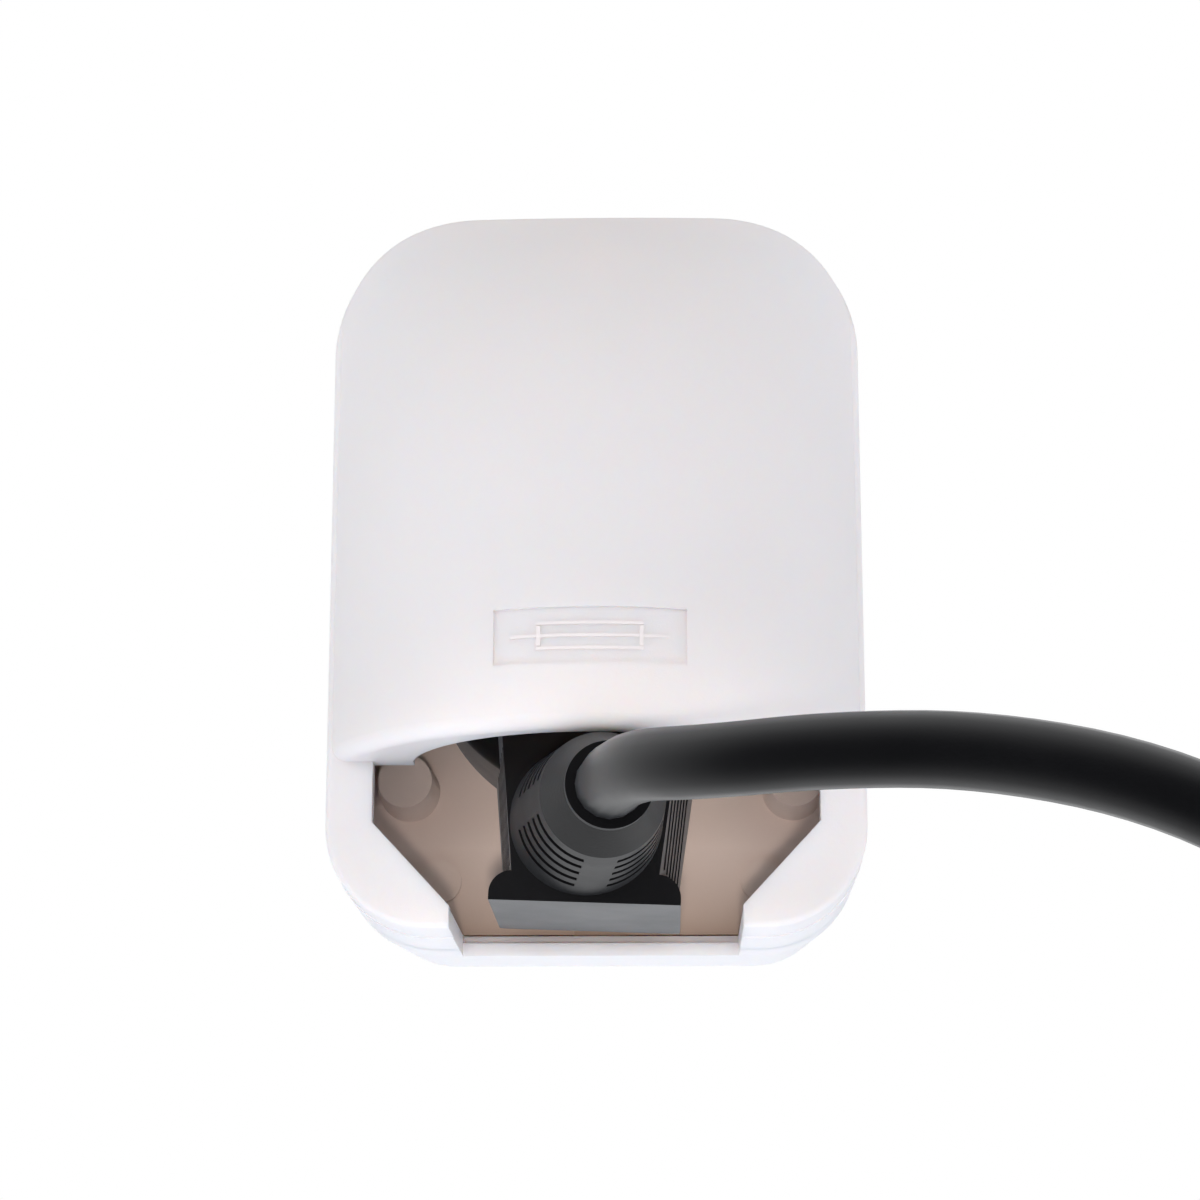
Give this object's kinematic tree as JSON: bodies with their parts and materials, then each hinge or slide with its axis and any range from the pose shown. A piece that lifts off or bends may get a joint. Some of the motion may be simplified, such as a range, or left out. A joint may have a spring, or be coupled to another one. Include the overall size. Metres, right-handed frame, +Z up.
{
  "type": "travel plug adapter",
  "caption": "White two-part mains adapter with British pins and a hooded front, closed round a black angled plug whose lead hangs in a tied coil.",
  "frame": {"origin": "on the flat pin face, at the middle of the British pin pattern", "axes": "+Y out of the pin face along the pins, +Z up towards the earth pin, +X to the right seen from the hood"},
  "size_m": [0.1097, 0.143, 0.3006],
  "materials": {
    "shell": "fine satin grain, off-white",
    "inner_plate": "fine satin grain, off-white",
    "plug_moulding": "black soft moulding, fine grain, satin",
    "lead_sheath": "black smooth sheath",
    "pin_metal": "drawn brass, satin",
    "pin_sleeve": "black insulating sleeve",
    "plug_metal": "bright nickel plating",
    "contact_metal": "rolled strip, bright",
    "fuse_tube": "glazed ceramic",
    "fuse_cap": "nickel-plated cap",
    "screw_steel": "zinc-plated steel",
    "tie_band": "black flexible band"
  },
  "bodies": {
    "root": {"base_shell": "shell", "socket_plate": "inner_plate", "cover": "shell", "earth_pin": "pin_metal", "live_pin": "pin_metal", "neutral_pin": "pin_metal", "live_pin_sleeve": "pin_sleeve", "neutral_pin_sleeve": "pin_sleeve", "earth_bracket": "contact_metal", "live_pin_strap": "contact_metal", "live_socket_contact": "contact_metal", "neutral_socket_contact": "contact_metal", "fuse_body": "fuse_tube", "fuse_caps": "fuse_cap", "fuse_carrier": "shell", "plate_screws": "screw_steel", "cover_screw": "screw_steel", "plug_body": "plug_moulding", "plug_pins": "plug_metal", "plug_earth_strips": "plug_metal", "strain_relief": "plug_moulding", "lead": "lead_sheath", "lead_end": "lead_sheath", "lead_coil": "lead_sheath", "coil_tie": "tie_band", "appliance_connector": "plug_moulding", "connector_contacts": "contact_metal", "connector_strain_relief": "plug_moulding"}
  },
  "joints": []
}
